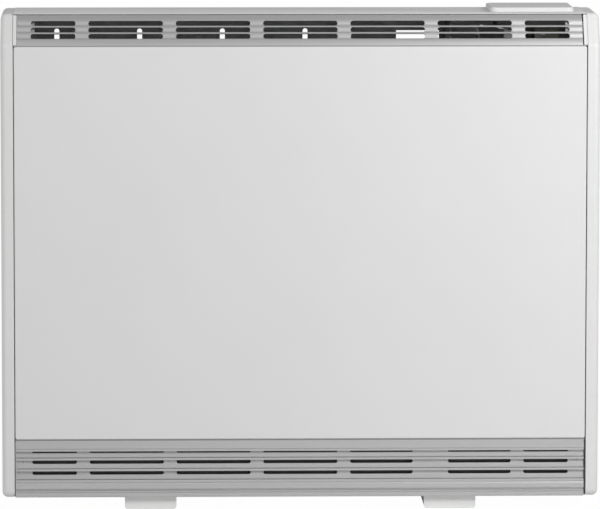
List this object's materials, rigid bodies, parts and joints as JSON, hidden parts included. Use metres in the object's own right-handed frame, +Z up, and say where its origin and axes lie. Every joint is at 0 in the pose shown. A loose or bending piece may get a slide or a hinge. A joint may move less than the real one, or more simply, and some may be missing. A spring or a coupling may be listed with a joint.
{
  "type": "storage heater",
  "caption": "Slim wall-standing electric storage heater: insulated brick core in a steel casing, with sloping outlet grille, inlet grille, end caps and controls under a hinged lid.",
  "frame": {"origin": "on the floor, half way along the width and half way between the front face and the wall plane", "axes": "+X to the right as seen from the front, +Y from the front face towards the wall, +Z up"},
  "size_m": [0.865, 0.185, 0.727],
  "materials": {
    "white_enamel": "satin powder coat",
    "cap_enamel": "satin powder coat",
    "panel_enamel": "satin powder coat",
    "trim_white": "satin",
    "silver_grille": "satin, silver lacquer",
    "zinc_sheet": "matte, galvanised",
    "dark_steel": "matte",
    "screw_steel": "satin",
    "foot_plastic": "matte",
    "tray_plastic": "matte",
    "fascia_plastic": "satin",
    "lid_plastic": "satin",
    "knob_plastic": "satin",
    "insulation_board": "matte, fibrous",
    "storage_brick": "matte, pressed",
    "element_steel": "matte, oxidised",
    "moulded_ceramic": "matte",
    "copper_tube": "satin",
    "grommet_rubber": "matte",
    "stud_brass": "satin",
    "wire_sleeve": "matte"
  },
  "bodies": {
    "casing": {"base_tray": "zinc_sheet", "back_panel": "zinc_sheet", "top_panel": "white_enamel", "left_side_frame": "zinc_sheet", "right_side_frame": "zinc_sheet", "left_end_cap": "cap_enamel", "right_end_cap": "cap_enamel", "front_panel": "panel_enamel", "inner_front_cover": "zinc_sheet", "inner_top_cover": "zinc_sheet", "partition": "zinc_sheet", "upper_grille": "silver_grille", "lower_grille": "silver_grille", "grille_end_trims": "trim_white", "grille_brackets": "dark_steel", "left_foot": "foot_plastic", "right_foot": "foot_plastic", "wall_brackets": "zinc_sheet", "casing_screws": "screw_steel", "base_insulation": "insulation_board", "top_insulation": "insulation_board", "front_insulation": "insulation_board", "rear_insulation": "insulation_board", "left_insulation": "insulation_board", "right_insulation": "insulation_board", "brick_1_1_front": "storage_brick", "brick_1_1_rear": "storage_brick", "brick_1_2_front": "storage_brick", "brick_1_2_rear": "storage_brick", "brick_2_1_front": "storage_brick", "brick_2_1_rear": "storage_brick", "brick_2_2_front": "storage_brick", "brick_2_2_rear": "storage_brick", "brick_3_1_front": "storage_brick", "brick_3_1_rear": "storage_brick", "brick_3_2_front": "storage_brick", "brick_3_2_rear": "storage_brick", "heating_element_1": "element_steel", "heating_element_2": "element_steel", "heating_element_3": "element_steel", "control_tray": "tray_plastic", "control_fascia": "fascia_plastic", "lid_hinge_pins": "screw_steel", "control_cradle": "dark_steel", "charge_thermostat": "moulded_ceramic", "capillary_sensor": "copper_tube", "thermal_cutout": "moulded_ceramic", "terminal_block": "moulded_ceramic", "cable_clamp": "foot_plastic", "cable_grommet": "grommet_rubber", "earth_stud": "stud_brass", "wiring_harness": "wire_sleeve"},
    "lid": {"control_lid": "lid_plastic"},
    "charge_knob": {"charge_knob": "knob_plastic", "charge_spindle": "screw_steel"},
    "output_knob": {"output_knob": "knob_plastic", "output_cam": "screw_steel"},
    "link": {"damper_link": "screw_steel"},
    "damper": {"damper_flap": "zinc_sheet", "damper_spindle": "screw_steel"}
  },
  "joints": [
    {"name": "lid_hinge", "type": "hinge", "parent": "casing", "child": "lid", "pos_m": [0.337, 0.074, 0.724], "axis": [-1, 0, 0], "range_deg": [0, 95]},
    {"name": "charge_knob_turn", "type": "hinge", "parent": "casing", "child": "charge_knob", "pos_m": [0.361, 0.015, 0.705], "axis": [0, 0, -1], "range_deg": [0, 270]},
    {"name": "output_knob_turn", "type": "hinge", "parent": "casing", "child": "output_knob", "pos_m": [0.313, 0.015, 0.705], "axis": [0, 0, -1], "range_deg": [0, 270]},
    {"name": "link_slide", "type": "slide", "parent": "casing", "child": "link", "axis": [1, 0, 0], "range_m": [0, 0.01353]},
    {"name": "damper_hinge", "type": "hinge", "parent": "casing", "child": "damper", "pos_m": [0.197, 0, 0.6507], "axis": [0, 1, 0], "range_deg": [0, 50]}
  ],
  "couplings": [
    {"joint": "link_slide", "follows": "output_knob_turn", "m_per_rad": 0.0028698},
    {"joint": "damper_hinge", "follows": "output_knob_turn", "ratio": 0.18519}
  ]
}
